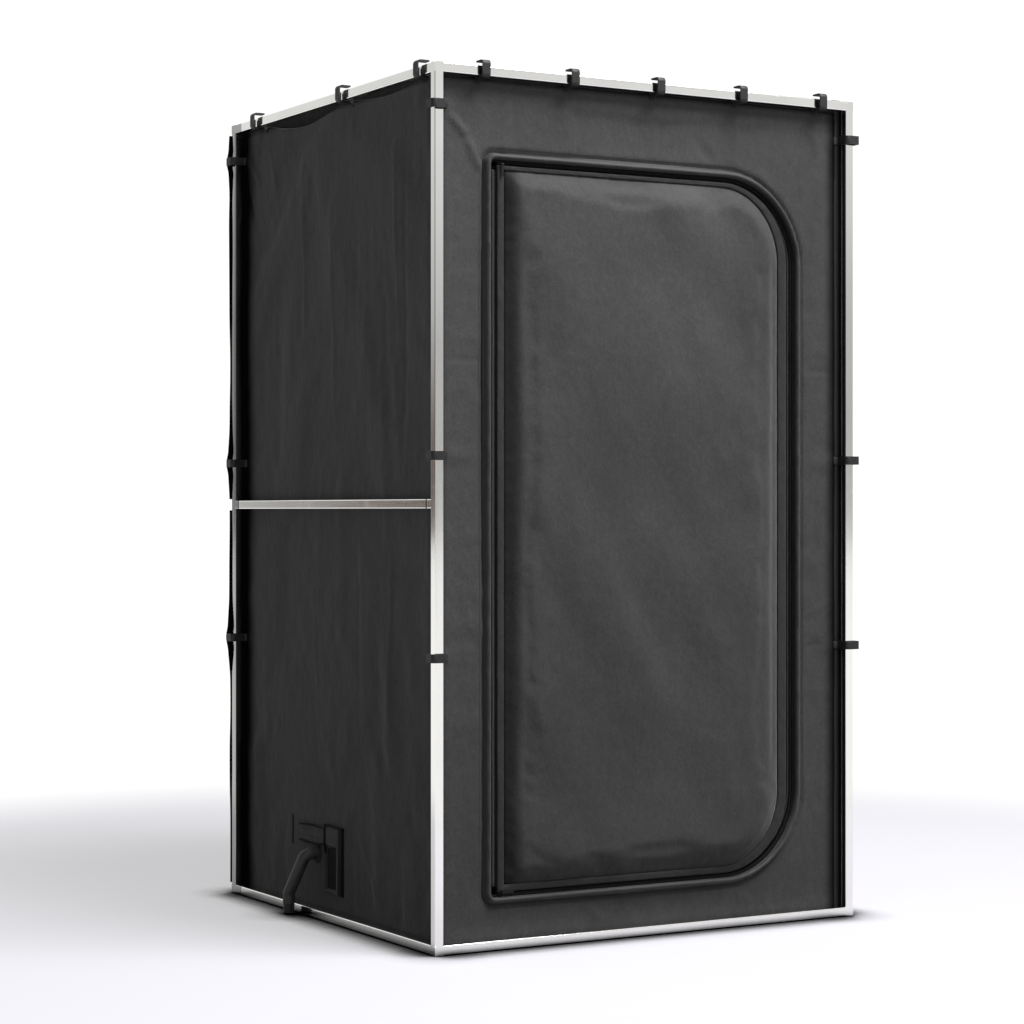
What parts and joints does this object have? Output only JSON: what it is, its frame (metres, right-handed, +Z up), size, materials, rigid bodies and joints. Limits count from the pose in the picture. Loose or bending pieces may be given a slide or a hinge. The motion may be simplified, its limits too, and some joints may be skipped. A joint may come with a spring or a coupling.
{
  "type": "portable steam sauna",
  "caption": "Upright one-person steam tent of padded fabric with a zipped D-shaped door and a low hose port, hung on C-shaped hooks inside a cuboid frame of square tube.",
  "frame": {"origin": "middle of the frame's footprint, on the floor, on the underside of the tent's floor", "axes": "+Z up, -Y towards the door side, +X to the right for a person who faces the door"},
  "size_m": [1.097, 1.033, 1.8115],
  "materials": {
    "frame_steel": "satin stainless tube",
    "button_steel": "dull spring steel",
    "hook_plastic": "moulded charcoal plastic",
    "tent_fabric": "coated plain-weave polyester, charcoal",
    "binding_fabric": "padded polyester binding, charcoal",
    "floor_fabric": "heavy coated base cloth",
    "lining_foil": "silver heat-reflecting lining",
    "zip_coil": "black nylon coil and tape",
    "zip_metal": "black enamelled zinc",
    "hook_and_loop": "black hook-and-loop tape",
    "hose_rubber": "dark grey silicone rubber",
    "hose_plastic": "moulded black plastic"
  },
  "bodies": {
    "tent_and_frame": {"bottom_corner_connectors": "frame_steel", "bottom_rail_back": "frame_steel", "bottom_rail_front": "frame_steel", "bottom_rail_left": "frame_steel", "bottom_rail_right": "frame_steel", "door_gusset": "binding_fabric", "doorway_welt": "binding_fabric", "flap_fastener_tapes": "hook_and_loop", "hook_tabs": "binding_fabric", "hose_coupling": "hose_plastic", "inner_lining": "lining_foil", "mid_connectors": "frame_steel", "mid_rail_back": "frame_steel", "mid_rail_collars": "hook_plastic", "mid_rail_left": "frame_steel", "mid_rail_right": "frame_steel", "port_collar": "binding_fabric", "port_pocket": "tent_fabric", "post_hooks": "hook_plastic", "post_lower_back_left": "frame_steel", "post_lower_back_right": "frame_steel", "post_lower_front_left": "frame_steel", "post_lower_front_right": "frame_steel", "post_upper_back_left": "frame_steel", "post_upper_back_right": "frame_steel", "post_upper_front_left": "frame_steel", "post_upper_front_right": "frame_steel", "roof": "tent_fabric", "seam_bindings": "binding_fabric", "steam_hose": "hose_rubber", "steam_nozzle": "hose_plastic", "tent_floor": "floor_fabric", "top_corner_connectors": "frame_steel", "top_rail_back": "frame_steel", "top_rail_front": "frame_steel", "top_rail_hooks": "hook_plastic", "top_rail_left": "frame_steel", "top_rail_right": "frame_steel", "wall_back": "tent_fabric", "wall_front": "tent_fabric", "wall_left": "tent_fabric", "wall_right": "tent_fabric", "zip_frame_side": "zip_coil"},
    "door": {"door_panel": "tent_fabric", "door_edge_binding": "binding_fabric", "door_lining": "lining_foil", "zip_door_side": "zip_coil"},
    "upper_slider": {"upper_zip_slider": "zip_metal"},
    "upper_pull": {"upper_zip_pull": "zip_metal"},
    "upper_inner_pull": {"upper_zip_inner_pull": "zip_metal"},
    "lower_slider": {"lower_zip_slider": "zip_metal"},
    "lower_pull": {"lower_zip_pull": "zip_metal"},
    "lower_inner_pull": {"lower_zip_inner_pull": "zip_metal"},
    "port_flap": {"port_flap": "tent_fabric"},
    "button_front_left": {"snap_button_front_left": "button_steel"},
    "button_front_right": {"snap_button_front_right": "button_steel"},
    "button_back_left": {"snap_button_back_left": "button_steel"},
    "button_back_right": {"snap_button_back_right": "button_steel"}
  },
  "joints": [
    {"name": "door_hinge", "type": "hinge", "parent": "tent_and_frame", "child": "door", "pos_m": [-0.375, -0.489, 0.86], "axis": [0, 0, -1], "range_deg": [0, 160]},
    {"name": "port_flap_hinge", "type": "hinge", "parent": "tent_and_frame", "child": "port_flap", "pos_m": [-0.50275, 0.121, 0.2003], "axis": [0, 1, 0], "range_deg": [0, 150]},
    {"name": "upper_zip_slide", "type": "slide", "parent": "door", "child": "upper_slider", "axis": [1, 0, 0], "range_m": [0, 0.5]},
    {"name": "lower_zip_slide", "type": "slide", "parent": "door", "child": "lower_slider", "axis": [1, 0, 0], "range_m": [0, 0.5]},
    {"name": "upper_pull_swing", "type": "hinge", "parent": "upper_slider", "child": "upper_pull", "pos_m": [-0.358, -0.4858, 1.606], "axis": [-1, 0, 0], "range_deg": [0, 120]},
    {"name": "upper_inner_pull_swing", "type": "hinge", "parent": "upper_slider", "child": "upper_inner_pull", "pos_m": [-0.358, -0.4612, 1.6012], "axis": [1, 0, 0], "range_deg": [0, 120]},
    {"name": "lower_pull_swing", "type": "hinge", "parent": "lower_slider", "child": "lower_pull", "pos_m": [-0.358, -0.4858, 0.114], "axis": [0, 0, -1], "range_deg": [0, 150]},
    {"name": "lower_inner_pull_swing", "type": "hinge", "parent": "lower_slider", "child": "lower_inner_pull", "pos_m": [-0.358, -0.4612, 0.1188], "axis": [0, 0, 1], "range_deg": [0, 150]},
    {"name": "button_press_front_left", "type": "slide", "parent": "tent_and_frame", "child": "button_front_left", "axis": [0, -1, 0], "range_m": [0, 0.0048], "stiffness_N_per_m": 60},
    {"name": "button_press_front_right", "type": "slide", "parent": "tent_and_frame", "child": "button_front_right", "axis": [-1, 0, 0], "range_m": [0, 0.0048], "stiffness_N_per_m": 60},
    {"name": "button_press_back_left", "type": "slide", "parent": "tent_and_frame", "child": "button_back_left", "axis": [0, -1, 0], "range_m": [0, 0.0048], "stiffness_N_per_m": 60},
    {"name": "button_press_back_right", "type": "slide", "parent": "tent_and_frame", "child": "button_back_right", "axis": [-1, 0, 0], "range_m": [0, 0.0048], "stiffness_N_per_m": 60}
  ]
}
